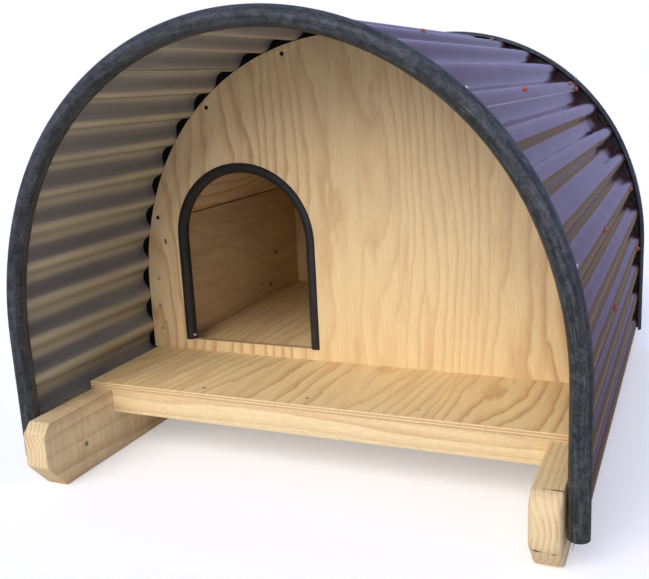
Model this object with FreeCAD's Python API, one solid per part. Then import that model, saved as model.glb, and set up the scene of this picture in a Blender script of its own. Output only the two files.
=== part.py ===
import FreeCAD, Part
import math
import os

# A dog house on skids. Two timber skids carry a plywood deck, a lined plywood
# cabin with an arched doorway, and a barrel roof of three corrugated steel
# sheets whose cut edges are covered by split plastic pipe.
# Millimetres. +X is right, +Y runs from the front to the back and +Z is up.
# The origin is on the ground, midway between the skids and midway along them.

Vector = FreeCAD.Vector
ALONG_Y = Vector(0, 1, 0)
UP = Vector(0, 0, 1)
SIDES = {"left": -1, "right": 1}

# Roof arch: the line that the inner side of the corrugations touches.
arch_half_width = 517.0
arch_height = 848.0
crown_flattening = 10.0  # the crown radius is the half width less this
crown_sweep = 65.0  # degrees that the crown arc runs each side of the top

# Corrugated steel sheets, lapped over the shoulders.
sheet_length = 1165.0
sheet_pitch = 76.2
sheet_depth = 17.0
sheet_thickness = 0.5
sheet_shift = 8.0  # the middle crest stands this far right of the centre
sheet_foot_height = 36.0
left_lap = (-24, -14)  # quarters of a corrugation, from the middle crest
right_lap = (13, 21)
lap_gap = 0.2
inner_gap = 0.3  # between the sheets and the timber inside them

# Skids and the bearers between them.
skid_thickness = 50.0
skid_height = 140.0
skid_reach = 37.0  # each end stands out past the roof sheets by this
skid_side_gap = 12.0  # skid to corrugation
nose_top_run = 19.0
nose_top_drop = 20.0
nose_toe_run = 47.0
nose_toe_rise = 55.0
bearer_width = 100.0
bearer_height = 48.0

# Deck, cabin floor, panels and linings are all cut from one plywood.
plywood = 15.0
deck_setback = 206.0  # front of the skids to the front of the deck
deck_overhang = 3.0  # past the outer face of each skid
porch_depth = 250.0
cabin_depth = 620.0

# Corner posts and the battens under the roof.
post_size = 50.0
batten_trim = 1.2  # a batten is as wide as one corrugation, less this
batten_thickness = 35.0
middle_batten_reach = 400.0  # along the arch from the top, or less: under a crest
upper_batten_reach = 170.0
lining_seam = 4.0
shoulder_inset = 1.5

# Doorway, with a split pipe pushed over its edge.
door_radius = 161.0  # to the middle of the pipe
door_wall_gap = 11.5  # from the pipe to the wall lining on the left
door_shoulder_gap = 4.5  # from the pipe to the sloping lining over it, or more
door_height = 400.0  # sill to the middle of the pipe over the doorway
sill_rise = 25.0  # above the deck
door_pipe_radius = 12.5
door_pipe_wall = 2.75
door_edge_gap = 0.75  # from the panel's edge to the wall of the pipe

# Split pipe round each end of the roof.
pipe_radius = 17.75
pipe_wall = 3.5
pipe_grip = 9.0
pipe_foot_height = 58.0
slot_gap = 0.4

# Counterbores in the end panels, over the ends of the battens.
counterbore_radius = 4.75
counterbore_depth = 9.0
counterbore_middle = 16.0  # below the roof line

# Worked out from the sizes above.
crown_radius = arch_half_width - crown_flattening
sweep = math.radians(crown_sweep)
haunch_sweep = math.pi / 2 - sweep
haunch_radius = (arch_half_width - crown_radius * math.sin(sweep)) / (1 - math.sin(sweep))
crown_centre = arch_height - crown_radius
spring_height = crown_centre - (haunch_radius - crown_radius) * math.cos(sweep)
haunch_centre = arch_half_width - haunch_radius

wave_height = (sheet_depth - sheet_thickness) / 2
middle_line = sheet_depth / 2  # from the arch line to the middle of the sheet
quarter = sheet_pitch / 4
flank_slope = 2 * math.atan(wave_height / quarter)
lap_lift = (sheet_thickness + lap_gap) / math.cos(flank_slope)
crown_arc = sweep * (crown_radius + middle_line)
haunch_arc = haunch_sweep * (haunch_radius + middle_line)
foot_arc = crown_arc + haunch_arc + spring_height - sheet_foot_height

skid_outer = arch_half_width - skid_side_gap
skid_inner = skid_outer - skid_thickness
skid_length = sheet_length + 2 * skid_reach
front_nose = -skid_length / 2
deck_front = front_nose + deck_setback
deck_base = skid_height
deck_top = deck_base + plywood
floor_top = deck_top + plywood
panel_front = deck_front + porch_depth
cabin_front = panel_front + plywood
cabin_back = cabin_front + cabin_depth
deck_back = cabin_back + plywood
roof_front = front_nose + skid_reach
roof_back = roof_front + sheet_length

post_inner = skid_outer - post_size
wall_face = post_inner - plywood
batten_width = sheet_pitch - batten_trim
door_bore = door_pipe_radius - door_pipe_wall - door_edge_gap
door_edge_grip = math.sqrt(door_bore**2 - (plywood / 2) ** 2)
sill_height = deck_top + sill_rise
door_centre = sill_height + door_height - door_radius
pipe_line = middle_line + lap_lift / 2
slot_half = middle_line + lap_lift / 2 + slot_gap


def block(low, high):
    size = Vector(*high).sub(Vector(*low))
    return Part.makeBox(size.x, size.y, size.z, Vector(*low))


def plate(outline, start, end):
    """A closed outline in the XZ plane, extruded from one Y to another."""
    face = Part.Face(Part.Wire(outline))
    face.translate(Vector(0, start, 0))
    return face.extrude(Vector(0, end - start, 0))


def polygon(points):
    corners = [Vector(x, 0, z) for x, z in points]
    return Part.makePolygon(corners + corners[:1]).Edges


# ---------------------------------------------------------------- the arch


def arch_frame(arc):
    """Centre, radius, and direction out at an arc length from the top."""
    side = math.copysign(1, arc)
    run = abs(arc)
    if run <= crown_arc:
        angle = run / (crown_radius + middle_line)
        centre = Vector(0, 0, crown_centre)
        radius = crown_radius
    elif run <= crown_arc + haunch_arc:
        angle = sweep + (run - crown_arc) / (haunch_radius + middle_line)
        centre = Vector(side * haunch_centre, 0, spring_height)
        radius = haunch_radius
    else:
        angle = math.pi / 2
        drop = run - crown_arc - haunch_arc
        centre = Vector(side * haunch_centre, 0, spring_height - drop)
        radius = haunch_radius
    outward = Vector(side * math.sin(angle), 0, math.cos(angle))
    return centre, radius, outward


def on_arch(arc, offset):
    """The point at an arc length from the top, and so far outside the line."""
    centre, radius, outward = arch_frame(arc)
    return centre + outward * (radius + offset)


def outward_at(arc):
    return arch_frame(arc)[2]


def along_at(arc):
    """Direction along the arch, towards the right foot."""
    outward = outward_at(arc)
    return Vector(outward.z, 0, -outward.x)


def height_at(reach):
    """Height at which the haunch is so far from the middle."""
    return spring_height + math.sqrt(haunch_radius**2 - (reach - haunch_centre) ** 2)


def arc_at(reach):
    """Arc length from the top at which the haunch is so far from the middle."""
    angle = math.asin((reach - haunch_centre) / haunch_radius)
    return crown_arc + (angle - sweep) * (haunch_radius + middle_line)


def arch_edges(offset, foot):
    """Left leg, haunch, crown, haunch and right leg, at an offset outside."""
    reach = arch_half_width + offset
    haunch_middle = crown_arc + haunch_arc / 2
    left = [
        Vector(-reach, 0, foot),
        Vector(-reach, 0, spring_height),
        on_arch(-haunch_middle, offset),
        on_arch(-crown_arc, offset),
    ]
    right = [Vector(-point.x, 0, point.z) for point in left]
    top = on_arch(0, offset)
    return [
        Part.LineSegment(left[0], left[1]).toShape(),
        Part.Arc(left[1], left[2], left[3]).toShape(),
        Part.Arc(left[3], top, right[3]).toShape(),
        Part.Arc(right[3], right[2], right[1]).toShape(),
        Part.LineSegment(right[1], right[0]).toShape(),
    ]


# ------------------------------------------------------------------ timber


def skid(side):
    """A plank on edge, with a small bevel above and a long one below at each end."""
    half = skid_length / 2
    profile = [
        (half - nose_top_run, skid_height),
        (half, skid_height - nose_top_drop),
        (half, nose_toe_rise),
        (half - nose_toe_run, 0),
    ]
    mirrored = [(-run, height) for run, height in reversed(profile)]
    start = side * skid_inner
    points = [Vector(start, run, height) for run, height in profile + mirrored]
    face = Part.Face(Part.makePolygon(points + points[:1]))
    return face.extrude(Vector(side * skid_thickness, 0, 0))


def bearer(front):
    low = (-skid_inner, front, skid_height - bearer_height)
    return block(low, (skid_inner, front + bearer_width, skid_height))


def deck():
    reach = skid_outer + deck_overhang
    return block((-reach, deck_front, deck_base), (reach, deck_back, deck_top))


def inner_floor():
    return block((-post_inner, cabin_front, deck_top), (post_inner, cabin_back, floor_top))


def post(side, front):
    inner = side * post_inner
    outer = side * skid_outer
    top = min(height_at(skid_outer + inner_gap), batten_bottom("lower") - inner_gap)
    low = (min(inner, outer), front, deck_top)
    return block(low, (max(inner, outer), front + post_size, top))


def batten_corners(arc, half_width):
    """Section of a batten whose outer corners lie just inside the roof."""
    radius = arch_frame(arc)[1] - inner_gap
    sagitta = radius - math.sqrt(radius**2 - half_width**2)
    outside = on_arch(arc, -inner_gap - sagitta)
    inside = outside - outward_at(arc) * batten_thickness
    step = along_at(arc) * half_width
    return [outside - step, outside + step, inside + step, inside - step]


def batten_section(level, side):
    return batten_corners(side * batten_crests[level] * sheet_pitch, batten_width / 2)


def batten(level, side):
    corners = batten_section(level, side)
    outline = polygon([(corner.x, corner.z) for corner in corners])
    return plate(outline, cabin_front, cabin_back)


def batten_bottom(level):
    return min(corner.z for corner in batten_section(level, 1))


def inner_corner(level, lower):
    """Upper or lower corner, on the cabin side, of the batten on the right."""
    corners = batten_section(level, 1)
    return corners[2] if lower else corners[3]


# ------------------------------------------------------------------ panels


def counterbores(face, inward):
    """Sunk in the outer face of an end panel, over the end of each batten."""
    holes = []
    for crest in batten_crests.values():
        for side in SIDES.values():
            arc = side * crest * sheet_pitch + sheet_shift
            middle = on_arch(arc, -counterbore_middle)
            start = middle + ALONG_Y * face
            holes.append(Part.makeCylinder(counterbore_radius, counterbore_depth, start, inward))
    return holes


def end_panel(start):
    outline = arch_edges(-inner_gap, deck_top)
    base_ends = (outline[-1].Vertexes[-1].Point, outline[0].Vertexes[0].Point)
    outline.append(Part.LineSegment(*base_ends).toShape())
    return plate(outline, start, start + plywood)


def doorway_edges(radius, foot):
    """Left leg, arch and right leg, at a radius about the doorway's centre."""
    left = Vector(door_offset - radius, 0, door_centre)
    right = Vector(door_offset + radius, 0, door_centre)
    top = Vector(door_offset, 0, door_centre + radius)
    drop = Vector(0, 0, foot - door_centre)
    return [
        Part.LineSegment(left + drop, left).toShape(),
        Part.Arc(left, top, right).toShape(),
        Part.LineSegment(right, right + drop).toShape(),
    ]


def doorway():
    """The opening that is cut through the front panel."""
    radius = door_radius - door_edge_grip
    outline = doorway_edges(radius, sill_height)
    foot_left = Vector(door_offset - radius, 0, sill_height)
    foot_right = Vector(door_offset + radius, 0, sill_height)
    outline.append(Part.LineSegment(foot_right, foot_left).toShape())
    return plate(outline, panel_front, cabin_front)


def front_panel():
    return end_panel(panel_front).cut(counterbores(panel_front, ALONG_Y) + [doorway()])


def back_panel():
    return end_panel(cabin_back).cut(counterbores(deck_back, ALONG_Y * -1))


def wall_top():
    """The wall lining stops where the lower batten's face reaches its back."""
    upper = inner_corner("lower", False)
    lower = inner_corner("lower", True)
    share = (post_inner - lower.x) / (upper.x - lower.x)
    share = min(max(share, 0.0), 1.0)
    return lower.z + share * (upper.z - lower.z) - lining_seam


def wall_lining(side):
    inner = side * wall_face
    outer = side * post_inner
    low = (min(inner, outer), cabin_front, floor_top)
    return block(low, (max(inner, outer), cabin_back, wall_top()))


def shoulder_line():
    """Foot and head of the back of the sloping lining on the right, and its slope."""
    foot_height = wall_top() + lining_seam
    head = inner_corner("middle", True) - Vector(inner_gap, 0, 0)
    corner = inner_corner("lower", False) - Vector(inner_gap, 0, 0)
    batten_slope = (head.x - corner.x) / (head.z - corner.z)
    behind_corner = corner.x + batten_slope * (foot_height - corner.z)
    foot = Vector(min(post_inner - shoulder_inset, behind_corner), 0, foot_height)
    return foot, head, (head.x - foot.x) / (head.z - foot.z)


def ceiling_base():
    return batten_bottom("middle") - inner_gap - plywood


def ceiling_reach():
    """Half the ceiling's width: its lower edges meet the backs of the shoulders."""
    foot, head, slope = shoulder_line()
    return foot.x + slope * (ceiling_base() - foot.z)


def shoulder_lining(side):
    """Sloping board from the wall lining up to the ceiling, cut level at both ends."""
    foot, head, slope = shoulder_line()
    across = plywood * math.sqrt(1 + slope**2)
    points = [
        (side * foot.x, foot.z),
        (side * ceiling_reach(), ceiling_base()),
        (side * (ceiling_reach() - across), ceiling_base()),
        (side * (foot.x - across), foot.z),
    ]
    return plate(polygon(points), cabin_front, cabin_back)


def ceiling_lining():
    reach = ceiling_reach()
    top = ceiling_base() + plywood
    return block((-reach, cabin_front, ceiling_base()), (reach, cabin_back, top))


def door_place():
    """The doorway's middle, as far left as the pipe clears the linings."""
    pipe_reach = door_radius + door_pipe_radius
    beside_wall = wall_face - door_wall_gap - pipe_reach
    foot, head, slope = shoulder_line()
    lining_back = foot.x + slope * (door_centre - foot.z)
    across = math.sqrt(1 + slope**2)
    beside_shoulder = lining_back - (plywood + door_shoulder_gap + pipe_reach) * across
    return -min(beside_wall, beside_shoulder)


# -------------------------------------------------------- corrugated sheets


def sheet_point(index, lift, side):
    """A point on one face of the sheet, at a quarter of a corrugation."""
    arc = index * quarter + sheet_shift
    phase = index % 4
    height = (wave_height, 0, -wave_height, 0)[phase]
    lean = (0, flank_slope, 0, -flank_slope)[phase]
    outward = outward_at(arc)
    facing = outward * math.cos(lean) + along_at(arc) * math.sin(lean)
    middle = on_arch(arc, middle_line + lift + height)
    return middle + facing * (side * sheet_thickness / 2)


def bend(peak, start, end, lift, side):
    """The arc over one crest or trough, or over the half of it that is there."""
    before, top, after = [sheet_point(peak + step, lift, side) for step in (-1, 0, 1)]
    arc = Part.Arc(before, top, after).toShape()
    if start == peak:
        arc = Part.Arc(top, halfway(arc.Curve, top, after), after).toShape()
    elif end == peak:
        arc = Part.Arc(before, halfway(arc.Curve, before, top), top).toShape()
    return arc


def halfway(circle, start, end):
    """The point of a circle midway between two others on it."""
    outwards = ((start + end) / 2 - circle.Center).normalize()
    return circle.Center + outwards * circle.Radius


def sheet_side(first, last, lift, side):
    """One face of the sheet, as a chain of arcs from crest to trough."""
    edges = []
    index = first
    while index < last:
        peak = index if index % 2 == 0 else index + 1
        end = min(peak + 1, last)
        edges.append(bend(peak, index, end, lift, side))
        index = end
    return edges


def roof_sheet(first, last, lift):
    outer = sheet_side(first, last, lift, 1)
    inner = sheet_side(first, last, lift, -1)
    ends = [
        Part.LineSegment(sheet_point(index, lift, -1), sheet_point(index, lift, 1)).toShape()
        for index in (first, last)
    ]
    outline = Part.__sortEdges__(outer + inner + ends)
    return plate(outline, roof_front, roof_back)


# -------------------------------------------------------------- split pipes


def split_section(centre, mouth, radius, wall, half_slot):
    """A C in the XY plane, open towards its mouth, with its slot's sides parallel."""
    across = UP.cross(mouth)
    inner = radius - wall
    outer_reach = math.sqrt(radius**2 - half_slot**2)
    inner_reach = math.sqrt(inner**2 - half_slot**2)
    outer_lips = [centre + mouth * outer_reach + across * (side * half_slot) for side in (1, -1)]
    inner_lips = [centre + mouth * inner_reach + across * (side * half_slot) for side in (1, -1)]
    return Part.Wire(
        [
            Part.Arc(outer_lips[0], centre - mouth * radius, outer_lips[1]).toShape(),
            Part.LineSegment(outer_lips[1], inner_lips[1]).toShape(),
            Part.Arc(inner_lips[1], centre - mouth * inner, inner_lips[0]).toShape(),
            Part.LineSegment(inner_lips[0], outer_lips[0]).toShape(),
        ]
    )


def swept(section, edges, middle):
    """The section carried along a path that lies in a plane of one Y."""
    path = Part.Wire(edges)
    path.translate(ALONG_Y * middle)
    sweep_tool = Part.BRepOffsetAPI.MakePipeShell(path)
    sweep_tool.setBiNormalMode(ALONG_Y)
    sweep_tool.add(section)
    sweep_tool.build()
    sweep_tool.makeSolid()
    return sweep_tool.shape()


def edge_pipe(middle, mouth):
    edges = arch_edges(pipe_line, pipe_foot_height)
    start = Vector(-arch_half_width - pipe_line, middle, pipe_foot_height)
    section = split_section(start, mouth, pipe_radius, pipe_wall, slot_half)
    return swept(section, edges, middle)


def door_pipe():
    middle = panel_front + plywood / 2
    edges = doorway_edges(door_radius, sill_height)
    start = Vector(door_offset - door_radius, middle, sill_height)
    half_slot = plywood / 2 + inner_gap
    section = split_section(start, Vector(-1, 0, 0), door_pipe_radius, door_pipe_wall, half_slot)
    return swept(section, edges, middle)


# ----------------------------------------------------------------- assembly

lower_batten_reach = arc_at(skid_outer) - batten_width / 2
batten_crests = {
    "lower": int(lower_batten_reach / sheet_pitch),
    "middle": int(middle_batten_reach / sheet_pitch),
    "upper": int(upper_batten_reach / sheet_pitch),
}
door_offset = door_place()

last_right = int((foot_arc - sheet_shift) / quarter)
last_left = -int((foot_arc + sheet_shift) / quarter)
sheets = {
    "left": (last_left, left_lap[1], 0.0),
    "top": (left_lap[0], right_lap[1], lap_lift),
    "right": (right_lap[0], last_right, 0.0),
}

bearer_fronts = {
    "front": deck_front,
    "panel": panel_front - bearer_width / 2 + plywood / 2,
    "middle": (panel_front + deck_back - bearer_width) / 2,
    "back": deck_back - bearer_width,
}
front_pipe_middle = roof_front + pipe_grip
back_pipe_middle = roof_back - pipe_grip


def timber_parts():
    parts = {"skid_" + name: skid(side) for name, side in SIDES.items()}
    for name, front in bearer_fronts.items():
        parts[name + "_bearer"] = bearer(front)
    rows = (("front", cabin_front), ("back", cabin_back - post_size))
    for name, side in SIDES.items():
        for row, front in rows:
            parts["corner_post_" + row + "_" + name] = post(side, front)
        for level in batten_crests:
            parts["batten_" + level + "_" + name] = batten(level, side)
    return parts


def plywood_parts():
    parts = {
        "deck": deck(),
        "inner_floor": inner_floor(),
        "front_panel": front_panel(),
        "back_panel": back_panel(),
        "ceiling_lining": ceiling_lining(),
    }
    for name, side in SIDES.items():
        parts["wall_lining_" + name] = wall_lining(side)
        parts["shoulder_lining_" + name] = shoulder_lining(side)
    return parts


def roof_parts():
    parts = {"roof_sheet_" + name: roof_sheet(*sheet) for name, sheet in sheets.items()}
    parts["front_edge_pipe"] = edge_pipe(front_pipe_middle, ALONG_Y)
    parts["back_edge_pipe"] = edge_pipe(back_pipe_middle, ALONG_Y * -1)
    parts["door_edge_pipe"] = door_pipe()
    return parts


def main():
    os.makedirs("parts", exist_ok=True)
    for name, shape in (timber_parts() | plywood_parts() | roof_parts()).items():
        shape.exportStep(os.path.join("parts", name + ".step"))
        print(name, round(shape.Volume))


main()
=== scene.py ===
import math

import bpy
from mathutils import Matrix, Vector


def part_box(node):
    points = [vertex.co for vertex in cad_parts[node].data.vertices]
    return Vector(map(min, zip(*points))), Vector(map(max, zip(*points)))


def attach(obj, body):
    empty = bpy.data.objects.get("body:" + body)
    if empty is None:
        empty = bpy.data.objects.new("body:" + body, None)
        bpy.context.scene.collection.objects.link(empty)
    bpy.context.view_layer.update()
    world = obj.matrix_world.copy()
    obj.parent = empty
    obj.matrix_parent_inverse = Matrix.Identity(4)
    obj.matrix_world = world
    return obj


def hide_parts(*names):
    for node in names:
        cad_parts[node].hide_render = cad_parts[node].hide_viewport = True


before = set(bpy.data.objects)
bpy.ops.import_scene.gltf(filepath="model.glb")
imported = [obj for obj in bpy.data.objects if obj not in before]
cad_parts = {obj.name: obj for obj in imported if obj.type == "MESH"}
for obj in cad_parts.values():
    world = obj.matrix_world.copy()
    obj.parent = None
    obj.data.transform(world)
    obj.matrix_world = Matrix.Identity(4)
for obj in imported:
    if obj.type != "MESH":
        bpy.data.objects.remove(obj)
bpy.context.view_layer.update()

# A dog house on skids: pale pine plywood and timber under a barrel of dark red
# corrugated steel, edged with split black pipe. Metres, in the model's frame.

MM = 0.001
X_WAY = Vector((1, 0, 0))
Y_WAY = Vector((0, 1, 0))
Z_WAY = Vector((0, 0, 1))

# The photograph's camera, in a picture 649 wide and 579 high.
picture_width = 649
picture_height = 579
focal_pixels = 846.1
principal_x = 356.9
principal_y = 274.1
camera_place = Vector((0.6704, -1.7744, 0.7513))
camera_yaw = math.radians(22.262)
camera_pitch = math.radians(-12.829)
camera_roll = math.radians(-2.413)
sensor_width = 36.0

# Roof arch and corrugations, as in the model.
panel_low, panel_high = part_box("front_panel")
roof_gap = 0.3 * MM
crown_tuck = 10 * MM  # the crown's radius is this much under half the width
arch_half_width = panel_high.x + roof_gap
arch_height = panel_high.z + roof_gap
crown_radius = arch_half_width - crown_tuck
crown_sweep = math.radians(65)
sheet_depth = 17 * MM
sheet_thickness = 0.5 * MM
sheet_pitch = 76.2 * MM
sheet_shift = 8 * MM  # crests lie at whole pitches from here
haunch_radius = (arch_half_width - crown_radius * math.sin(crown_sweep)) / (1 - math.sin(crown_sweep))
crown_centre = arch_height - crown_radius
spring_height = crown_centre - (haunch_radius - crown_radius) * math.cos(crown_sweep)
haunch_centre = arch_half_width - haunch_radius
crown_arc = crown_sweep * (crown_radius + sheet_depth / 2)
haunch_arc = (math.pi / 2 - crown_sweep) * (haunch_radius + sheet_depth / 2)


def on_arch(arc, offset):
    """Point and outward direction at an arc length from the top of the roof."""
    side = math.copysign(1, arc)
    run = abs(arc)
    if run <= crown_arc:
        angle = run / (crown_radius + sheet_depth / 2)
        centre = Vector((0, 0, crown_centre))
        radius = crown_radius
    else:
        over = min(run - crown_arc, haunch_arc)
        angle = crown_sweep + over / (haunch_radius + sheet_depth / 2)
        drop = max(run - crown_arc - haunch_arc, 0)
        centre = Vector((side * haunch_centre, 0, spring_height - drop))
        radius = haunch_radius
    outward = Vector((side * math.sin(angle), 0, math.cos(angle)))
    return centre + outward * (radius + offset), outward


# Modelling.

weld_reach = 0.02 * MM
flat_angle = math.radians(0.5)
sharp_angle = math.radians(35)


def activate(piece):
    bpy.ops.object.select_all(action="DESELECT")
    piece.select_set(True)
    bpy.context.view_layer.objects.active = piece


def modify(piece, kind, **settings):
    """Adds a modifier, sets it and applies it."""
    activate(piece)
    modifier = piece.modifiers.new(kind.lower(), kind)
    for name, value in settings.items():
        setattr(modifier, name, value)
    bpy.ops.object.modifier_apply(modifier=modifier.name)


def smooth(piece, degrees):
    activate(piece)
    bpy.ops.object.shade_smooth_by_angle(angle=math.radians(degrees))


def copy_of(node_name):
    """A merged copy of a model piece, with its own mesh."""
    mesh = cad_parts[node_name].data.copy()
    piece = bpy.data.objects.new(node_name + "_finish", mesh)
    bpy.context.scene.collection.objects.link(piece)
    activate(piece)
    bpy.ops.mesh.customdata_custom_splitnormals_clear()
    bpy.ops.object.mode_set(mode="EDIT")
    bpy.ops.mesh.select_all(action="SELECT")
    bpy.ops.mesh.remove_doubles(threshold=weld_reach)
    bpy.ops.object.mode_set(mode="OBJECT")
    return piece


def make_flats_whole(piece):
    """Joins the triangles of each flat face, and leaves nothing selected."""
    activate(piece)
    bpy.ops.object.mode_set(mode="EDIT")
    bpy.ops.mesh.select_all(action="SELECT")
    bpy.ops.mesh.dissolve_limited(angle_limit=flat_angle)
    bpy.ops.mesh.select_all(action="DESELECT")
    bpy.ops.object.mode_set(mode="OBJECT")


def ease_edges(piece, width):
    """Rounds the sharp edges a little."""
    make_flats_whole(piece)
    modify(piece, "BEVEL", width=width, segments=2, limit_method="ANGLE", angle_limit=sharp_angle)


def finish_piece(piece, slot, material, *stands_for):
    """Gives a piece its material, hangs it from the root and hides the model pieces it stands for."""
    piece.data.materials.clear()
    piece.data.materials.append(material)
    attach(piece, "root")
    if stands_for:
        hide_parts(*stands_for)


# Materials. A pattern's Scale is how many of its patches fit in a metre: 620 makes them about 1.6 mm
# wide, 90 about 11 mm. A shrunk axis draws them out along it.


def linear(code):
    """The linear colour of an sRGB hex value."""
    values = [int(code[i : i + 2], 16) / 255 for i in (1, 3, 5)]
    return [v / 12.92 if v <= 0.04045 else ((v + 0.055) / 1.055) ** 2.4 for v in values] + [1]


def node(tree, kind, inputs, out=0, stops=(), **settings):
    """Adds a node with its settings and links, and gives one of its outputs."""
    made = tree.nodes.new("ShaderNode" + kind)
    for name, value in settings.items():
        setattr(made, name, value)
    for name, value in inputs.items():
        if isinstance(value, bpy.types.NodeSocket):
            tree.links.new(value, made.inputs[name])
        elif isinstance(value, str):
            made.inputs[name].default_value = linear(value)
        else:
            made.inputs[name].default_value = value
    for position, code in stops[1:-1]:
        made.color_ramp.elements.new(position)
    for element, (position, code) in zip(made.color_ramp.elements if stops else (), stops):
        element.position = position
        element.color = linear(code)
    return made.outputs[out] if made.outputs else made


def when_seen(tree):
    """1 for a ray from the camera, or one mirrored or let through by the object, and 0 for lighting."""
    path = tree.nodes.new("ShaderNodeLightPath").outputs
    seen = node(tree, "Math", {0: path["Is Camera Ray"], 1: path["Is Glossy Ray"]}, operation="MAXIMUM")
    return node(tree, "Math", {0: seen, 1: path["Is Transmission Ray"]}, operation="MAXIMUM")


def start_material(name):
    material = bpy.data.materials.new(name)
    material.use_nodes = True
    material.node_tree.nodes.clear()
    return material, material.node_tree


def close_material(tree, height, relief, inputs):
    """Ends a material. Relief is the depth in metres that a height of 1 stands for."""
    inputs["Normal"] = node(tree, "Bump", {"Height": height, "Distance": relief, "Strength": 1.0})
    surface = node(tree, "BsdfPrincipled", inputs)
    node(tree, "OutputMaterial", {"Surface": surface})


def mark_wood(tree, colour, place, marks):
    """Darkens knots, and cracks as painted shade, each given as a place and its half sizes, with a ragged
    rim.
    """
    ragged = node(tree, "TexNoise", {"Vector": place, "Scale": 90.0, "Detail": 3.0})
    for mark_place, half_sizes in marks:
        shrink = Vector([1 / size for size in half_sizes])
        from_mark = node(tree, "VectorMath", {0: place, 1: mark_place}, operation="SUBTRACT")
        in_mark = node(tree, "VectorMath", {0: from_mark, 1: shrink}, operation="MULTIPLY")
        reach = node(tree, "VectorMath", {0: in_mark}, out="Value", operation="LENGTH")
        rim = node(tree, "Math", {0: ragged, 1: 1.6, 2: reach}, operation="MULTIPLY_ADD")
        amount = node(tree, "MapRange", {"Value": rim, 1: 1.5, 2: 2.1, 3: 0.85, 4: 0.0})
        colour = node(tree, "Mix", {0: amount, 6: colour, 7: "#4a2f1b"}, out=2, data_type="RGBA")
    return colour


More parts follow.
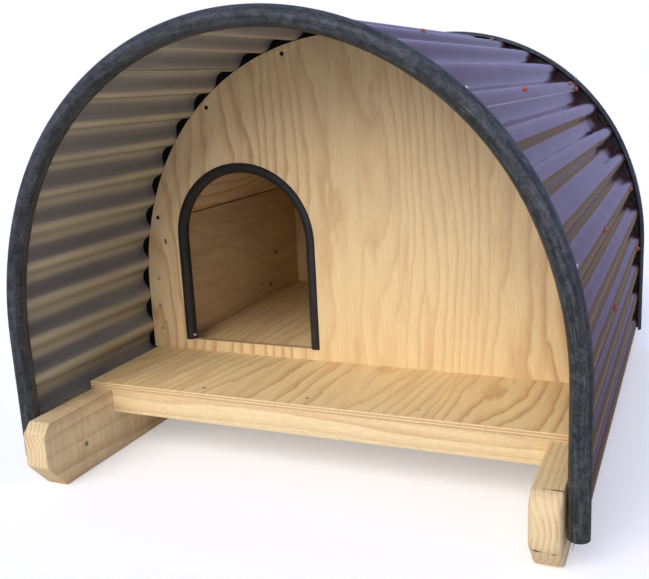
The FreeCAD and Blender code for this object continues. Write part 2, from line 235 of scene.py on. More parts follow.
def plywood(name, across, along, centre, seed, marks):
    """Radiata pine plywood, peeled and sanded: the knife runs through the growth rings, so the face
    has wavy brown bands with one sharp side. Five plies of 3 mm show at its edges. Marks are its knots."""
    material, tree = start_material(name)
    through = across.cross(along)
    place = node(tree, "TexCoord", {}, out="Object")
    turned = node(tree, "TexCoord", {}, out="Normal")
    u = node(tree, "VectorMath", {0: place, 1: across}, out="Value", operation="DOT_PRODUCT")
    v = node(tree, "VectorMath", {0: place, 1: along}, out="Value", operation="DOT_PRODUCT")
    w = node(tree, "VectorMath", {0: place, 1: through}, out="Value", operation="DOT_PRODUCT")
    long_v = node(tree, "Math", {0: v, 1: 0.25}, operation="MULTIPLY")
    sheet = node(tree, "CombineXYZ", {"X": u, "Y": long_v, "Z": seed})

    # Bands about 36 mm apart. Slow noise bends them into long loops, quicker noise makes them wavy.
    loops = node(tree, "TexNoise", {"Vector": sheet, "Scale": 2.8, "Detail": 2.0, "Roughness": 0.45})
    wander = node(tree, "TexNoise", {"Vector": sheet, "Scale": 17.0, "Detail": 3.0, "Roughness": 0.55})
    spread = node(tree, "Math", {0: u, 1: 1 / (36 * MM)}, operation="MULTIPLY")
    looped = node(tree, "Math", {0: loops, 1: 19.0, 2: spread}, operation="MULTIPLY_ADD")
    phase = node(tree, "Math", {0: wander, 1: 1.7, 2: looped}, operation="MULTIPLY_ADD")
    band = node(tree, "Math", {0: phase}, operation="FRACT")
    veneer_stops = [
        (0.0, "#d9b882"),
        (0.1, "#e8cc98"),
        (0.55, "#e4c791"),
        (0.82, "#d2ab76"),
        (0.93, "#bf9160"),
        (1.0, "#cfa873"),
    ]
    veneer = node(tree, "ValToRGB", {"Fac": band}, stops=veneer_stops)

    # The bands fade out in places, and brown streaks about 30 mm wide run with the grain.
    patches = node(tree, "TexNoise", {"Vector": sheet, "Scale": 2.6, "Detail": 1.0})
    strength = node(tree, "MapRange", {"Value": patches, 1: 0.4, 2: 0.6, 3: 0.25, 4: 0.85})
    banded = node(tree, "Mix", {0: strength, 6: "#e6ca94", 7: veneer}, out=2, data_type="RGBA")
    streak_v = node(tree, "Math", {0: v, 1: 0.12}, operation="MULTIPLY")
    streak_place = node(tree, "CombineXYZ", {"X": u, "Y": streak_v, "Z": seed})
    stain = node(tree, "TexNoise", {"Vector": streak_place, "Scale": 34.0, "Detail": 3.0})
    stain_amount = node(tree, "MapRange", {"Value": stain, 1: 0.5, 2: 0.75, 3: 0.0, 4: 0.6})
    stained = node(tree, "Mix", {0: stain_amount, 6: banded, 7: "#cfa577"}, out=2, data_type="RGBA")

    # Wood fibres, about 1.5 mm wide and 60 mm long.
    fibre_v = node(tree, "Math", {0: v, 1: 0.03}, operation="MULTIPLY")
    fibre_place = node(tree, "CombineXYZ", {"X": u, "Y": fibre_v, "Z": seed})
    fibres = node(tree, "TexNoise", {"Vector": fibre_place, "Scale": 620.0, "Detail": 2.0})
    fibre_shade = node(tree, "MapRange", {"Value": fibres, 1: 0.3, 2: 0.7, 3: 0.93, 4: 1.05})
    fibred = node(tree, "VectorMath", {0: stained, 1: fibre_shade}, operation="MULTIPLY")
    face = mark_wood(tree, fibred, place, marks)

    # The plies at a cut edge: pale long grain and brown end grain by turns, with dark glue lines.
    off_centre = node(tree, "Math", {0: w, 1: centre}, operation="SUBTRACT")
    depth = node(tree, "Math", {0: off_centre}, operation="ABSOLUTE")
    plies = node(tree, "Math", {0: depth, 1: 1 / (3 * MM), 2: 0.5}, operation="MULTIPLY_ADD")
    ply = node(tree, "Math", {0: plies}, operation="FLOOR")
    cross_ply = node(tree, "Math", {0: ply, 1: 2.0}, operation="MODULO")
    ply_part = node(tree, "Math", {0: plies}, operation="FRACT")
    glue = node(tree, "MapRange", {"Value": ply_part, 1: 0.0, 2: 0.22, 3: 0.8, 4: 1.0})

    # Torn fibres roughen the cut edge.
    crumbs = node(tree, "TexNoise", {"Vector": place, "Scale": 420.0, "Detail": 3.0, "Roughness": 0.7})
    crumb_shade = node(tree, "MapRange", {"Value": crumbs, 1: 0.3, 2: 0.7, 3: 0.78, 4: 1.12})
    ply_colour = node(tree, "Mix", {0: cross_ply, 6: "#e6ca96", 7: "#cda776"}, out=2, data_type="RGBA")
    glued = node(tree, "VectorMath", {0: ply_colour, 1: glue}, operation="MULTIPLY")
    edge = node(tree, "VectorMath", {0: glued, 1: crumb_shade}, operation="MULTIPLY")

    turn = node(tree, "VectorMath", {0: turned, 1: through}, out="Value", operation="DOT_PRODUCT")
    flat = node(tree, "Math", {0: turn}, operation="ABSOLUTE")
    edge_mask = node(tree, "MapRange", {"Value": flat, 1: 0.45, 2: 0.75, 3: 1.0, 4: 0.0})
    colour = node(tree, "Mix", {0: edge_mask, 6: face, 7: edge}, out=2, data_type="RGBA")
    roughness = node(tree, "MapRange", {"Value": band, 3: 0.62, 4: 0.5})
    fuzz = node(tree, "Math", {0: crumbs, 1: edge_mask, 2: fibres}, operation="MULTIPLY_ADD")
    close_material(tree, fuzz, 0.25 * MM, {"Base Color": colour, "Roughness": roughness})
    return material


def timber(name, along, heart, seed, saw_depth, marks):
    """Radiata pine, sawn and left rough: growth rings about 9 mm apart round the heart of the tree, a
    felt of torn fibres and the saw's marks across the grain. Marks are the knots, and the cracks whose
    dark is painted shade, each a place and its half sizes."""
    material, tree = start_material(name)
    place = node(tree, "TexCoord", {}, out="Object")
    turned = node(tree, "TexCoord", {}, out="Normal")
    squeeze = Vector((1, 1, 1)) - along * 0.92
    lengthened = node(tree, "VectorMath", {0: place, 1: squeeze}, operation="MULTIPLY")
    moved = node(tree, "VectorMath", {0: lengthened, 1: Vector((seed, seed, seed))}, operation="ADD")

    # Rings: the distance from the heart, pulled about by noise.
    from_heart = node(tree, "VectorMath", {0: place, 1: heart}, operation="SUBTRACT")
    flat_way = Vector((1, 1, 1)) - along * 0.985
    radial = node(tree, "VectorMath", {0: from_heart, 1: flat_way}, operation="MULTIPLY")
    radius = node(tree, "VectorMath", {0: radial}, out="Value", operation="LENGTH")
    pull = node(tree, "TexNoise", {"Vector": moved, "Scale": 9.0, "Detail": 3.0, "Roughness": 0.45})
    rings_out = node(tree, "Math", {0: radius, 1: 1 / (9 * MM)}, operation="MULTIPLY")
    phase = node(tree, "Math", {0: pull, 1: 5.0, 2: rings_out}, operation="MULTIPLY_ADD")
    ring = node(tree, "Math", {0: phase}, operation="FRACT")
    wood_stops = [
        (0.0, "#e8cf9e"),
        (0.5, "#e3c894"),
        (0.82, "#cfa872"),
        (0.94, "#bb8e5b"),
        (1.0, "#d6b37f"),
    ]
    wood = node(tree, "ValToRGB", {"Fac": ring}, stops=wood_stops)
    softness = node(tree, "TexNoise", {"Vector": moved, "Scale": 16.0, "Detail": 2.0})
    soft_amount = node(tree, "MapRange", {"Value": softness, 1: 0.35, 2: 0.65, 3: 0.2, 4: 0.7})
    sawn = node(tree, "Mix", {0: soft_amount, 6: wood, 7: "#e8cf9e"}, out=2, data_type="RGBA")


    # Fibres about 1.6 mm wide and 16 mm long.
    fibre_way = Vector((1, 1, 1)) - along * 0.9
    fibre_place = node(tree, "VectorMath", {0: place, 1: fibre_way}, operation="MULTIPLY")
    fibre_shape = {"Scale": 620.0, "Detail": 3.0, "Roughness": 0.65}
    fibres = node(tree, "TexNoise", {"Vector": fibre_place, **fibre_shape})
    fibre_shade = node(tree, "MapRange", {"Value": fibres, 1: 0.3, 2: 0.7, 3: 0.87, 4: 1.08})
    colour = node(tree, "VectorMath", {0: sawn, 1: fibre_shade}, operation="MULTIPLY")

    # Saw marks about 12 mm apart, straight across the grain and uneven.
    straight_way = Vector((0.06, 0.06, 0.06)) + along * 0.94
    straight = node(tree, "VectorMath", {0: place, 1: straight_way}, operation="MULTIPLY")
    saw = node(tree, "TexNoise", {"Vector": straight, "Scale": 85.0, "Detail": 3.0, "Roughness": 0.6})
    saw_shade = node(tree, "MapRange", {"Value": saw, 1: 0.35, 2: 0.65, 3: 1 - saw_depth * 0.22, 4: 1.0})
    colour = node(tree, "VectorMath", {0: colour, 1: saw_shade}, operation="MULTIPLY")

    colour = mark_wood(tree, colour, place, marks)
    turn = node(tree, "VectorMath", {0: turned, 1: along}, out="Value", operation="DOT_PRODUCT")
    end_on = node(tree, "Math", {0: turn}, operation="ABSOLUTE")
    end_shade = node(tree, "MapRange", {"Value": end_on, 1: 0.5, 2: 0.9, 3: 1.0, 4: 0.93})
    colour = node(tree, "VectorMath", {0: colour, 1: end_shade}, operation="MULTIPLY")
    height = node(tree, "Math", {0: saw, 1: saw_depth, 2: fibres}, operation="MULTIPLY_ADD")
    close_material(tree, height, 0.4 * MM, {"Base Color": colour, "Roughness": 0.72})
    return material


def painted_steel():
    """Corrugated steel, baked gloss paint outside and a grey backing coat inside. The paint is a dark
    maroon that takes the colour of what it mirrors; the backing coat is duller and shows in long soft
    streaks, partly painted light: painted shade and painted glints set by the slope and ridge of each
    corrugation. The attributes say which side a point is on, how far its slope leans down the roof, and
    how high it lies in the corrugation."""
    material, tree = start_material("corrugated steel, maroon gloss paint")
    place = node(tree, "TexCoord", {}, out="Object")
    outside = node(tree, "Attribute", {}, out="Fac", attribute_name="outside")
    lean = node(tree, "Attribute", {}, out="Fac", attribute_name="lean")
    rise = node(tree, "Attribute", {}, out="Fac", attribute_name="rise")
    streak_place = node(tree, "VectorMath", {0: place, 1: Vector((1, 0.06, 1))}, operation="MULTIPLY")

    # Dust lies in long streaks down the sheet; the rolled metal is never quite straight.
    dust_and_glint_noise = node(tree, "TexNoise", {"Vector": streak_place, "Scale": 55.0, "Detail": 3.0})
    dust_amount = node(tree, "MapRange", {"Value": dust_and_glint_noise, 1: 0.45, 2: 0.75, 3: 0.0, 4: 0.12})
    paint = node(tree, "Mix", {0: dust_amount, 6: "#4c2627", 7: "#7d6a63"}, out=2, data_type="RGBA")
    cloud = node(tree, "TexNoise", {"Vector": streak_place, "Scale": 14.0, "Detail": 2.0})

    # Inside, painted light over the coat's own khaki: the flanks that lean up are painted a cool grey and
    # those that lean down a paler khaki, as the sky and the ground would light them.
    painted_light_lean = node(tree, "Math", {0: cloud, 1: 0.3, 2: lean}, operation="MULTIPLY_ADD")
    coat_stops = [
        (0.3, "#6b6e70"),
        (0.56, "#84827a"),
        (0.7, "#aaa38b"),
        (0.9, "#9b947b"),
        (0.97, "#bdb496"),
    ]
    coat = node(tree, "ValToRGB", {"Fac": painted_light_lean}, stops=coat_stops)
    # Painted highlight: a pale glint line along each ridge, broken into patches by the dust noise.
    painted_glint_ridge = node(tree, "MapRange", {"Value": rise, 1: 0.0, 2: 0.12, 3: 1.0, 4: 0.0})
    rubbed_and_glinting = node(tree, "MapRange", {"Value": dust_and_glint_noise, 1: 0.35, 2: 0.65, 3: 0.1, 4: 0.9})
    rub_and_glint_amount = node(tree, "Math", {0: painted_glint_ridge, 1: rubbed_and_glinting}, operation="MULTIPLY")
    coat = node(tree, "Mix", {0: rub_and_glint_amount, 6: coat, 7: "#c4b996"}, out=2, data_type="RGBA")
    colour = node(tree, "Mix", {0: outside, 6: coat, 7: paint}, out=2, data_type="RGBA")
    paint_rough = node(tree, "MapRange", {"Value": dust_and_glint_noise, 1: 0.4, 2: 0.8, 3: 0.09, 4: 0.2})
    coat_rough = node(tree, "MapRange", {"Value": cloud, 1: 0.3, 2: 0.7, 3: 0.15, 4: 0.25})
    roughness = node(tree, "Mix", {0: outside, 2: coat_rough, 3: paint_rough})
    waves = node(tree, "TexNoise", {"Vector": place, "Scale": 7.0, "Detail": 2.0, "Roughness": 0.35})
    close_material(tree, waves, 2 * MM, {"Base Color": colour, "Roughness": roughness, "IOR": 1.5})
    return material


def black_foam():
    """Closed-cell polyethylene foam, cut to the corrugations: black and quite dull, with fine cells."""
    material, tree = start_material("polyethylene foam, black")
    place = node(tree, "TexCoord", {}, out="Object")
    cells = node(tree, "TexNoise", {"Vector": place, "Scale": 500.0, "Detail": 2.0})
    colour = node(tree, "ValToRGB", {"Fac": cells}, stops=[(0.3, "#050607"), (0.7, "#0c0d0e")])
    finish = {"Base Color": colour, "Roughness": 0.95, "Specular IOR Level": 0.2}
    close_material(tree, cells, 0.3 * MM, finish)
    return material


def black_pipe(name, dark, scuffed, scratch_share, roughness):
    """Black polyethylene water pipe, extruded: a soft sheen, rubbed grey in patches, with pale
    scratches that run along it. The attribute says where along and round the pipe a point is."""
    material, tree = start_material(name)
    place = node(tree, "TexCoord", {}, out="Object")
    run = node(tree, "Attribute", {}, out="Vector", attribute_name="run")
    patches = node(tree, "TexNoise", {"Vector": place, "Scale": 75.0, "Detail": 4.0, "Roughness": 0.6})
    rub = node(tree, "TexNoise", {"Vector": run, "Scale": 1.0, "Detail": 4.0, "Roughness": 0.6})
    grit = node(tree, "TexNoise", {"Vector": place, "Scale": 260.0, "Detail": 3.0, "Roughness": 0.7})
    rub_grit = node(tree, "Math", {0: rub, 1: grit}, operation="MULTIPLY")
    rub_mix = node(tree, "Math", {0: patches, 1: 0.38, 2: rub_grit}, operation="MULTIPLY_ADD")
    rub_and_glint_amount = node(tree, "MapRange", {"Value": rub_mix, 1: 0.37, 2: 0.6, 3: 0.0, 4: 0.7})
    rubbed_and_glinting = node(tree, "Mix", {0: rub_and_glint_amount, 6: dark, 7: scuffed}, out=2, data_type="RGBA")
    fine_way = Vector((1.4, 5.0, 5.0))
    scratch_place = node(tree, "VectorMath", {0: run, 1: fine_way}, operation="MULTIPLY")
    scratches = node(tree, "TexNoise", {"Vector": scratch_place, "Scale": 1.0, "Detail": 2.0})
    scratch_from = 1 - scratch_share
    scratch_mask = node(
        tree, "MapRange", {"Value": scratches, 1: scratch_from, 2: scratch_from + 0.03, 3: 0.0, 4: 0.8}
    )
    colour = node(tree, "Mix", {0: scratch_mask, 6: rubbed_and_glinting, 7: "#7b7f80"}, out=2, data_type="RGBA")
    rough = node(tree, "MapRange", {"Value": rub_mix, 1: 0.36, 2: 0.58, 3: roughness, 4: roughness + 0.2})
    height = node(tree, "Math", {0: scratches, 1: 0.6, 2: grit}, operation="MULTIPLY_ADD")
    close_material(tree, height, 0.25 * MM, {"Base Color": colour, "Roughness": rough, "IOR": 1.51})
    return material


def painted_screw():
    """Zinc-plated steel, powder coated pinkish red: the coat is rubbed to bare metal on the corners."""
    material, tree = start_material("screw steel, red powder coat")
    place = node(tree, "TexCoord", {}, out="Object")
    wear = node(tree, "TexNoise", {"Vector": place, "Scale": 900.0, "Detail": 2.0})
    coat_stops = [(0.35, "#8e3f38"), (0.6, "#b3645a"), (0.75, "#c9a79f")]
    colour = node(tree, "ValToRGB", {"Fac": wear}, stops=coat_stops)
    roughness = node(tree, "MapRange", {"Value": wear, 3: 0.28, 4: 0.5})
    close_material(tree, wear, 0.1 * MM, {"Base Color": colour, "Roughness": roughness})
    return material


def zinc():
    """Zinc-plated steel: pale grey metal with a faint cloudy spangle."""
    material, tree = start_material("screw steel, zinc plate")
    place = node(tree, "TexCoord", {}, out="Object")
    cloud = node(tree, "TexNoise", {"Vector": place, "Scale": 700.0, "Detail": 2.0})
    colour = node(tree, "ValToRGB", {"Fac": cloud}, stops=[(0.3, "#c6c8c9"), (0.7, "#e4e5e6")])
    roughness = node(tree, "MapRange", {"Value": cloud, 3: 0.38, 4: 0.55})
    close_material(tree, cloud, 0.05 * MM, {"Base Color": colour, "Roughness": roughness, "Metallic": 1.0})
    return material


def painted_shade_steel():
    """Blackened screw steel, dark and dull: painted shade, so that a sunk head makes its hole read as a
    black dot.
    """
    material, tree = start_material("screw steel, black phosphate")
    place = node(tree, "TexCoord", {}, out="Object")
    cloud = node(tree, "TexNoise", {"Vector": place, "Scale": 800.0, "Detail": 2.0})
    colour = node(tree, "ValToRGB", {"Fac": cloud}, stops=[(0.3, "#101112"), (0.7, "#1d1e20")])
    close_material(tree, cloud, 0.05 * MM, {"Base Color": colour, "Roughness": 0.6})
    return material


# Timber: the skids, bearers, posts and battens, with eased edges.
skid_ease = 2.5 * MM
board_ease = 1.2 * MM
timber_pieces = {
    "skid_left": ("skid_timber", Y_WAY, skid_ease),
    "skid_right": ("skid_timber", Y_WAY, skid_ease),
    "front_bearer": ("bearer_timber", X_WAY, board_ease),
    "panel_bearer": ("bearer_timber", X_WAY, board_ease),
    "middle_bearer": ("bearer_timber", X_WAY, board_ease),
    "back_bearer": ("bearer_timber", X_WAY, board_ease),
}
for end in ("front", "back"):
    for side in ("left", "right"):
        timber_pieces[f"corner_post_{end}_{side}"] = ("frame_timber", Z_WAY, board_ease)
for level in ("lower", "middle", "upper"):
    for side in ("left", "right"):
        timber_pieces[f"batten_{level}_{side}"] = ("frame_timber", Y_WAY, board_ease)

# Knots, and cracks darkened as painted shade, each as its place and its half sizes.
marks = {
    "skid_left": [
        (Vector((-0.466, -0.507, 0.059)), Vector((20, 7, 5)) * MM),
        (Vector((-0.455, -0.3, 0.1)), Vector((20, 3, 3)) * MM),
    ],
    "skid_right": [
        (Vector((0.498, -0.588, 0.137)), Vector((20, 2.5, 10)) * MM),
        # The next two marks are the split along the nose's lower chamfer: their dark is painted shade
        # inside the crack.
        (Vector((0.466, -0.62, 0.049)), Vector((14, 12, 2.5)) * MM),
        (Vector((0.497, -0.62, 0.046)), Vector((9, 12, 2)) * MM),
        (Vector((0.505, -0.2, 0.08)), Vector((20, 9, 7)) * MM),
    ],
    "wall_lining_left": [
        (Vector((-0.44, 0.337, 0.285)), Vector((20, 10, 5)) * MM),
        (Vector((-0.44, 0.293, 0.202)), Vector((20, 8, 5)) * MM),
    ],
    "front_panel": [(Vector((-0.461, -0.1635, 0.411)), Vector((3.5, 20, 7)) * MM)],
}


def round_nose(piece):
    """Rounds the worn front end of the right skid, where the left one still has its saw cuts."""
    nose_end = -0.55
    crossing = 40 * MM  # an edge that runs across the skid is longer than this
    wear = 11 * MM
    make_flats_whole(piece)
    for edge in piece.data.edges:
        first, second = (piece.data.vertices[i].co for i in edge.vertices)
        edge.select = max(first.y, second.y) < nose_end and abs(first.x - second.x) > crossing
    bpy.ops.object.mode_set(mode="EDIT")
    bpy.ops.mesh.bevel(offset=wear, segments=4, affect="EDGES")
    bpy.ops.object.mode_set(mode="OBJECT")


# The heart of the tree lies inside a bearer, and beside every other timber.
heart_beside = 110 * MM
heart_behind = 6 * MM
heart_above = 42 * MM
saw_depths = {"skid_left": 0.7, "skid_right": 0.25}
usual_saw_depth = 0.12
seed_step = 0.37
for number, (name, (slot, along, ease)) in enumerate(timber_pieces.items()):
    low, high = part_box(name)
    middle = (low + high) / 2
    heart = Vector((low.x - heart_beside, middle.y, middle.z))
    if along != Y_WAY:
        heart = Vector((0, middle.y + heart_behind, low.z + heart_above))
    piece = copy_of(name)
    if name == "skid_right":
        round_nose(piece)
    ease_edges(piece, ease)
    smooth(piece, 30)
    title = f"sawn pine, {name.replace('_', ' ')}"
    saw_depth = saw_depths.get(name, usual_saw_depth)
    material = timber(title, along, heart, number * seed_step, saw_depth, marks.get(name, ()))
    finish_piece(piece, slot, material, name)

# Plywood: deck, floor, end panels and linings.
plywood_ease = 0.5 * MM
first_seed = 2.1
plywood_seed_step = 1.7
plywood_pieces = {
    "deck": ("floor_plywood", X_WAY, Y_WAY),
    "inner_floor": ("floor_plywood", X_WAY, Y_WAY),
    "front_panel": ("panel_plywood", X_WAY, Z_WAY),
    "back_panel": ("panel_plywood", X_WAY, Z_WAY),
    "ceiling_lining": ("lining_plywood", X_WAY, Y_WAY),
    "wall_lining_left": ("lining_plywood", Z_WAY, Y_WAY),
    "wall_lining_right": ("lining_plywood", Z_WAY, Y_WAY),
}
for side, way in (("left", -1), ("right", 1)):
    low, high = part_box(f"shoulder_lining_{side}")
    slope = Vector((high.x - low.x, 0, way * (low.z - high.z))).normalized()
    plywood_pieces[f"shoulder_lining_{side}"] = ("lining_plywood", slope, Y_WAY)
for number, (name, (slot, across, along)) in enumerate(plywood_pieces.items()):
    low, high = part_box(name)
    centre = across.cross(along).dot((low + high) / 2)
    piece = copy_of(name)
    ease_edges(piece, plywood_ease)
    smooth(piece, 30)
    title = f"radiata plywood, {name.replace('_', ' ')}"
    seed = first_seed + number * plywood_seed_step
    material = plywood(title, across, along, centre, seed, marks.get(name, ()))
    finish_piece(piece, slot, material, name)

# Roof sheets: smooth copies that know their painted side, their slopes and their ridges.


def from_arch(point):
    """How far a point lies outside the arch line, and the way down along the roof there."""
    side = math.copysign(1, point.x)
    centre = Vector((0, point.y, crown_centre))
    radius = crown_radius
    if math.atan2(abs(point.x), point.z - crown_centre) > crown_sweep:
        centre = Vector((side * haunch_centre, point.y, min(point.z, spring_height)))
        radius = haunch_radius
    away = point - centre
    return away.length - radius, side * Y_WAY.cross(away.normalized())


steel = painted_steel()
for name in ("roof_sheet_left", "roof_sheet_top", "roof_sheet_right"):
    piece = copy_of(name)
    smooth(piece, 40)
    facts = [piece.data.attributes.new(fact, "FLOAT", "POINT") for fact in ("outside", "lean", "rise")]
    outside, lean, rise = facts
    for vertex in piece.data.vertices:
        away = vertex.co - Vector((0, vertex.co.y, spring_height))
        height, down = from_arch(vertex.co)
        outside.data[vertex.index].value = 1.0 if vertex.normal.dot(away) > 0 else 0.0
        lean.data[vertex.index].value = 0.5 + vertex.normal.dot(down) / 2
        rise.data[vertex.index].value = height / sheet_depth
    finish_piece(piece, "roof_steel", steel, name)

# Black foam strips close the gaps between the end panels and the sheets' corrugations.
wave_height = (sheet_depth - sheet_thickness) / 2
wave_radius = ((sheet_pitch / 4) ** 2 + wave_height**2) / (2 * wave_height)
strip_width = 12 * MM
strip_step = 3 * MM
strip_inset = 0.5 * MM  # behind the panel's face, and above the deck
strip_slack = 0.3 * MM
strip_neck = (-0.25 * MM, -0.05 * MM)  # where a trough leaves it hardly any room
strip_reach = crown_arc + haunch_arc + spring_height - panel_low.z - strip_inset


def under_sheet(arc):
    """How far the sheet's inner face is from the arch line: crest and trough are arcs of one radius."""
    turn = ((arc - sheet_shift) / sheet_pitch + 0.25) % 1
    across = (turn % 0.5 - 0.25) * sheet_pitch
    wave = wave_height - wave_radius + math.sqrt(wave_radius**2 - across**2)
    return wave_height + (wave if turn < 0.5 else -wave)


def foam_strip(name, middle_y):
    """A strip from the panel's edge to the sheet, laid along the arch."""
    steps = round(2 * strip_reach / strip_step)
    bpy.ops.object.select_all(action="DESELECT")
    bpy.ops.mesh.primitive_grid_add(x_subdivisions=steps, y_subdivisions=1, size=1)
    strip = bpy.context.object
    strip.name = name
    for vertex in strip.data.vertices:
        arc = vertex.co.x * 2 * strip_reach
        outer = max(under_sheet(arc) - strip_slack, strip_neck[1])
        place = on_arch(arc, outer if vertex.co.y > 0 else strip_neck[0])[0]
        vertex.co = place + Y_WAY * middle_y
    modify(strip, "SOLIDIFY", thickness=strip_width, offset=0)
    bpy.ops.object.mode_set(mode="EDIT")
    bpy.ops.mesh.select_all(action="SELECT")
    bpy.ops.mesh.normals_make_consistent(inside=False)
    bpy.ops.object.mode_set(mode="OBJECT")
    smooth(strip, 40)
    return strip


foam = black_foam()
back_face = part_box("back_panel")[1].y
set_back = strip_width / 2 + strip_inset
finish_piece(foam_strip("foam_strip_front", panel_low.y + set_back), "edge_pipe_plastic", foam)
finish_piece(foam_strip("foam_strip_back", back_face - set_back), "edge_pipe_plastic", foam)

# Pipes: smooth copies that know how far along and round the pipe each point is.
edge_pipe = black_pipe("polyethylene pipe, scuffed", "#222627", "#54595c", 0.3, 0.31)
door_pipe = black_pipe("polyethylene pipe, clean", "#191918", "#302f2c", 0.22, 0.4)
run_spread = Vector((8, 130, 130))  # patches a metre: 125 mm along the pipe and 8 mm round it


def know_run(piece, middle, bend):
    """Writes how far along the pipe each point is, and its two places across the pipe."""
    run = piece.data.attributes.new("run", "FLOAT_VECTOR", "POINT")
    least_height = 1 * MM
    for vertex in piece.data.vertices:
        away = vertex.co - middle
        turn = math.atan2(away.x, max(away.z, least_height))
        below = max(-away.z, 0)
        reach = math.hypot(away.x, max(away.z, 0))
        along = turn * bend + math.copysign(below, away.x)
        run.data[vertex.index].vector = Vector((along, away.y, reach)) * run_spread


for name in ("front_edge_pipe", "back_edge_pipe"):
    piece = copy_of(name)
    smooth(piece, 40)
    know_run(piece, Vector((0, 0, spring_height)), crown_radius)
    finish_piece(piece, "edge_pipe_plastic", edge_pipe, name)

door_low, door_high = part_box("door_edge_pipe")
door_bend = (door_high.x - door_low.x) / 2
door_middle = Vector(((door_low.x + door_high.x) / 2, 0, door_high.z - door_bend))
piece = copy_of("door_edge_pipe")
smooth(piece, 40)
know_run(piece, door_middle, door_bend)
finish_piece(piece, "door_pipe_plastic", door_pipe, "door_edge_pipe")


# Screws, each kind modelled once.


def pick(piece, wanted):
    """Selects the faces that pass a test, and enters edit mode."""
    activate(piece)
    bpy.ops.object.mode_set(mode="EDIT")
    bpy.ops.mesh.select_all(action="DESELECT")
    bpy.ops.object.mode_set(mode="OBJECT")
    for face in piece.data.polygons:
        face.select = wanted(face)
    bpy.ops.object.mode_set(mode="EDIT")


def top_face(face):
    """Whether a face looks up and isn't a sliver."""
    return face.normal.z > 0.9 and face.area > MM * MM


def hex_screw():
    """Roof screw: a domed washer with a rim, and a hexagonal head with a flange."""
    bpy.ops.object.select_all(action="DESELECT")
    bpy.ops.mesh.primitive_cylinder_add(vertices=24, radius=7 * MM, depth=1 * MM, location=(0, 0, 0.5 * MM))
    washer = bpy.context.object
    pick(washer, top_face)
    bpy.ops.mesh.inset(thickness=2 * MM)
    bpy.ops.transform.translate(value=(0, 0, 0.7 * MM))
    bpy.ops.mesh.inset(thickness=0.8 * MM)
    bpy.ops.mesh.extrude_region_move(TRANSFORM_OT_translate={"value": (0, 0, 0.6 * MM)})
    bpy.ops.object.mode_set(mode="OBJECT")
    bpy.ops.object.select_all(action="DESELECT")
    bpy.ops.mesh.primitive_cylinder_add(
        vertices=6, radius=4.4 * MM, depth=3.4 * MM, location=(0, 0, 3.6 * MM)
    )
    head = bpy.context.object
    pick(head, top_face)
    bpy.ops.mesh.inset(thickness=0.6 * MM)
    bpy.ops.transform.translate(value=(0, 0, 0.4 * MM))
    bpy.ops.object.mode_set(mode="OBJECT")
    modify(head, "BEVEL", width=0.25 * MM, segments=2, limit_method="ANGLE")
    washer.select_set(True)
    bpy.context.view_layer.objects.active = washer
    bpy.ops.object.join()
    return washer


def round_screw(radius, rise, sunk):
    """A low round head with a driving hole sunk in its top."""
    bpy.ops.object.select_all(action="DESELECT")
    height = rise + sunk
    bpy.ops.mesh.primitive_cylinder_add(
        vertices=20, radius=radius, depth=height, location=(0, 0, (rise - sunk) / 2)
    )
    screw = bpy.context.object
    pick(screw, top_face)
    bpy.ops.mesh.inset(thickness=radius * 0.25)
    bpy.ops.transform.translate(value=(0, 0, rise * 0.35))
    bpy.ops.mesh.inset(thickness=radius * 0.3)
    bpy.ops.mesh.extrude_region_move(TRANSFORM_OT_translate={"value": (0, 0, -rise * 0.8)})
    bpy.ops.object.mode_set(mode="OBJECT")
    return screw


def drive_in(model, name, point, outward, material, *slot):
    """Puts a copy of a screw at a point, its head facing outward."""
    turn = Z_WAY.rotation_difference(outward).to_matrix().to_4x4()
    mesh = model.data.copy()
    mesh.transform(Matrix.Translation(point) @ turn)
    screw = bpy.data.objects.new(name, mesh)
    bpy.context.scene.collection.objects.link(screw)
    smooth(screw, 35)
    mesh.materials.clear()
    mesh.materials.append(material)
    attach(screw, "root")


red = painted_screw()
silver = zinc()
black = painted_shade_steel()
roof_screw = hex_screw()
pipe_screw = round_screw(radius=4.2 * MM, rise=1.6 * MM, sunk=2 * MM)
flush_screw = round_screw(radius=3.6 * MM, rise=0.7 * MM, sunk=1.5 * MM)
sunk_screw = round_screw(radius=4.6 * MM, rise=1.2 * MM, sunk=5 * MM)

# Roof screws sit on crests, just high enough to clear the upper sheet at a lap.
lap_clearance = 0.5 * MM
sheet_crest = sheet_depth + lap_clearance
screw_crests = (2, 5, 9, 11)
screw_rows = {"front": -0.14, "rear": 0.452}
for row, y in screw_rows.items():
    for side, way in (("left", -1), ("right", 1)):
        for crest in screw_crests:
            arc = way * crest * sheet_pitch + sheet_shift
            point, outward = on_arch(arc, sheet_crest)
            point.y = y
            drive_in(roof_screw, f"roof_screw_{row}_{side}_{crest}", point, outward, red, "roof_steel")

# One more screw holds the lap down near the rear, a little down the slope of its crest.
lap_screw_arc = 0.405
lap_screw_y = 0.492
lap_screw_drop = 3 * MM
point, outward = on_arch(lap_screw_arc, sheet_crest - lap_screw_drop)
point.y = lap_screw_y
drive_in(roof_screw, "lap_screw", point, outward, red, "roof_steel")

# The edge pipes are screwed on through their outer wall.
pipe_arcs = (0.38, 0.673)
pipe_screw_lean = math.radians(25)  # towards the middle of the roof
pipe_low, pipe_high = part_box("front_edge_pipe")
pipe_radius = (pipe_high.y - pipe_low.y) / 2
pipe_offset = pipe_high.x - arch_half_width - pipe_radius
for end in ("front", "back"):
    low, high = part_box(f"{end}_edge_pipe")
    inward = 1 if end == "front" else -1
    for side, way in (("left", -1), ("right", 1)):
        for number, arc in enumerate(pipe_arcs):
            point, outward = on_arch(way * arc, pipe_offset)
            outward = outward * math.cos(pipe_screw_lean) + Y_WAY * inward * math.sin(pipe_screw_lean)
            point.y = (low.y + high.y) / 2
            point += outward * pipe_radius
            drive_in(pipe_screw, f"pipe_screw_{end}_{side}_{number}", point, outward, silver)

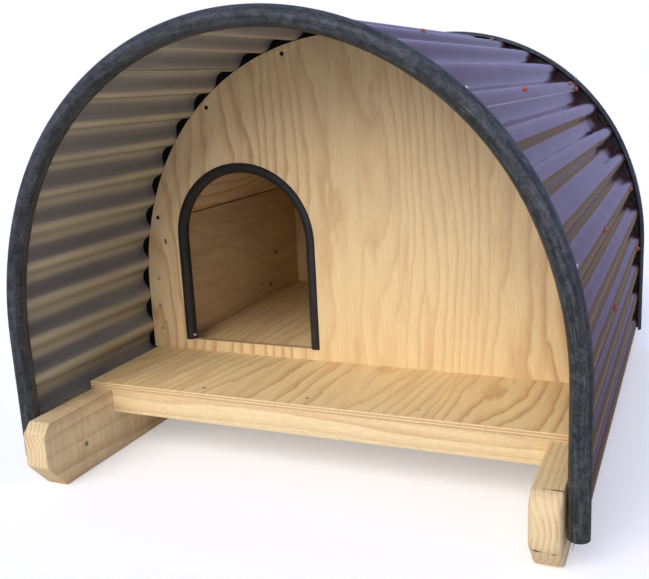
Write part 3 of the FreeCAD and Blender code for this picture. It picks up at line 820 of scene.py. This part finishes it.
# Panel screws into the posts, and deck screws into the bearers.
panel_screws = ((0.488, 0.322), (0.4915, 0.258), (0.4905, 0.201), (0.4825, 0.161))
for side, way in (("left", -1), ("right", 1)):
    for number, (x, z) in enumerate(panel_screws):
        front = Vector((way * x, panel_low.y, z))
        back = Vector((way * x, back_face, z))
        drive_in(flush_screw, f"panel_screw_front_{side}_{number}", front, -Y_WAY, silver)
        drive_in(flush_screw, f"panel_screw_back_{side}_{number}", back, Y_WAY, silver)

# Sunk screws near the edge of the end panels, one at each batten. Their black heads are painted shade that
# makes each hole read dark.
hole_inset = 16 * MM
head_depth = 3.5 * MM
for side, way in (("left", -1), ("right", 1)):
    for crest in screw_crests[:3]:
        point, outward = on_arch(way * crest * sheet_pitch + sheet_shift, -hole_inset)
        front = Vector((point.x, panel_low.y + head_depth, point.z))
        back = Vector((point.x, back_face - head_depth, point.z))
        drive_in(sunk_screw, f"sunk_screw_front_{side}_{crest}", front, -Y_WAY, black)
        drive_in(sunk_screw, f"sunk_screw_back_{side}_{crest}", back, Y_WAY, black)

# The door pipe has a screw near the foot of each leg.
door_pipe_radius = 12.5 * MM
door_screw_height = 0.191
door_screw_ways = {
    "left": (door_low.x + door_pipe_radius, Vector((0.8, -0.6, 0))),
    "right": (door_high.x - door_pipe_radius, Vector((-0.8, -0.6, 0))),
}
for side, (leg, outward) in door_screw_ways.items():
    point = Vector((leg, (door_low.y + door_high.y) / 2, door_screw_height)) + outward * door_pipe_radius
    drive_in(flush_screw, f"door_pipe_screw_{side}", point, outward, silver)

deck_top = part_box("deck")[1].z
deck_screws = ((-0.492, -0.3845), (-0.245, -0.3865), (-0.016, -0.3805), (0.209, -0.3775), (0.349, -0.1885))
for number, (x, y) in enumerate(deck_screws):
    drive_in(flush_screw, f"deck_screw_{number}", Vector((x, y, deck_top)), Z_WAY, silver)

for model in (roof_screw, pipe_screw, flush_screw, sunk_screw):
    bpy.data.objects.remove(model)


# Studio: a pale floor, a soft warm lamp from the front left and a cool dome of light overhead.
floor_size = 60
floor_drop = 0.5 * MM
floor_glow = 0.3
card_drop = 0.2 * MM
dome_radius = 29
sky_low = "#a5a8da"
sky_stops = [(0.15, sky_low), (0.5, "#8f9ecc"), (1.0, "#9ca8d2")]
ground_shade = "#8a8078"
bpy.ops.object.select_all(action="DESELECT")
bpy.ops.mesh.primitive_plane_add(size=floor_size, location=(0, 0, -floor_drop))
floor = bpy.context.object
floor.name = "floor"
floor_paint, tree = start_material("matt white floor")
glow = node(tree, "Emission", {"Color": "#ffffff", "Strength": floor_glow})
matt = node(tree, "BsdfDiffuse", {"Color": "#f0f0f0"})
seen = when_seen(tree)
lit = node(tree, "AddShader", {0: matt, 1: glow})
both = node(tree, "MixShader", {0: seen, 1: matt, 2: lit})
node(tree, "OutputMaterial", {"Surface": both})
floor.data.materials.append(floor_paint)

# The sky lights the object coolly, with a white horizon, and is white all over where it is seen.
world = bpy.data.worlds.new("studio")
world.use_nodes = True
world.node_tree.nodes.clear()
tree = world.node_tree
ray = node(tree, "TexCoord", {}, out="Generated")
height = node(tree, "VectorMath", {0: ray, 1: Z_WAY}, out="Value", operation="DOT_PRODUCT")
dome = node(tree, "ValToRGB", {"Fac": height}, stops=[(0.11, "#ffffff"), *sky_stops])
seen = when_seen(tree)
shown = node(tree, "Mix", {0: seen, 6: dome, 7: "#ffffff"}, out=2, data_type="RGBA")
light = node(tree, "Background", {"Color": shown, "Strength": 1.0})
node(tree, "OutputWorld", {"Surface": light})
bpy.context.scene.world = world

# A card over the floor and a dome of the sky's colours shade the gloss alone, as a photographer shades
# a white table so that painted steel keeps its depth.
bpy.ops.object.select_all(action="DESELECT")
bpy.ops.mesh.primitive_plane_add(size=floor_size, location=(0, 0, -card_drop))
floor_card = bpy.context.object
floor_card.name = "floor_card"
bpy.ops.object.select_all(action="DESELECT")
bpy.ops.mesh.primitive_uv_sphere_add(segments=96, ring_count=48, radius=dome_radius)
sky_card = bpy.context.object
sky_card.name = "sky_card"
bpy.ops.object.mode_set(mode="EDIT")
bpy.ops.mesh.select_all(action="SELECT")
bpy.ops.mesh.bisect(plane_co=(0, 0, MM), plane_no=(0, 0, 1), clear_inner=True)
bpy.ops.object.mode_set(mode="OBJECT")
for card, stops in ((floor_card, [(0.0, ground_shade), (1.0, ground_shade)]), (sky_card, sky_stops)):
    card.visible_camera = False
    card.visible_diffuse = False
    card.visible_shadow = False
    card.visible_transmission = False
    card_paint, tree = start_material(card.name + " paper")
    place = node(tree, "TexCoord", {}, out="Object")
    to_sine = Z_WAY / dome_radius
    way_up = node(tree, "VectorMath", {0: place, 1: to_sine}, out="Value", operation="DOT_PRODUCT")
    shade = node(tree, "ValToRGB", {"Fac": way_up}, stops=stops)
    glow = node(tree, "Emission", {"Color": shade, "Strength": 1.0})
    node(tree, "OutputMaterial", {"Surface": glow})
    card.data.materials.append(card_paint)

bpy.ops.object.select_all(action="DESELECT")
bpy.ops.object.light_add(type="SUN")
lamp = bpy.context.object
lamp.name = "soft_lamp"
lamp.data.energy = 2.7
lamp.data.angle = math.radians(50)
lamp.data.color = (1.0, 0.95, 0.88)
lamp_way = Vector((0.16, 1.0, -0.7))
lamp.matrix_world = lamp_way.to_track_quat("-Z", "Y").to_matrix().to_4x4()

forward = Vector(
    (
        -math.sin(camera_yaw) * math.cos(camera_pitch),
        math.cos(camera_yaw) * math.cos(camera_pitch),
        math.sin(camera_pitch),
    )
)
level = forward.cross(Z_WAY).normalized()
upright = level.cross(forward)
right = level * math.cos(camera_roll) + upright * math.sin(camera_roll)
up = upright * math.cos(camera_roll) - level * math.sin(camera_roll)
camera_data = bpy.data.cameras.new("camera")
camera = bpy.data.objects.new("camera", camera_data)
bpy.context.scene.collection.objects.link(camera)
camera.matrix_world = Matrix.Translation(camera_place) @ Matrix((right, up, -forward)).transposed().to_4x4()
camera_data.sensor_width = sensor_width
camera_data.lens = focal_pixels * sensor_width / picture_width
camera_data.shift_x = (picture_width / 2 - principal_x) / picture_width
camera_data.shift_y = (principal_y - picture_height / 2) / picture_width
bpy.context.scene.camera = camera
bpy.context.scene.view_settings.view_transform = "Standard"
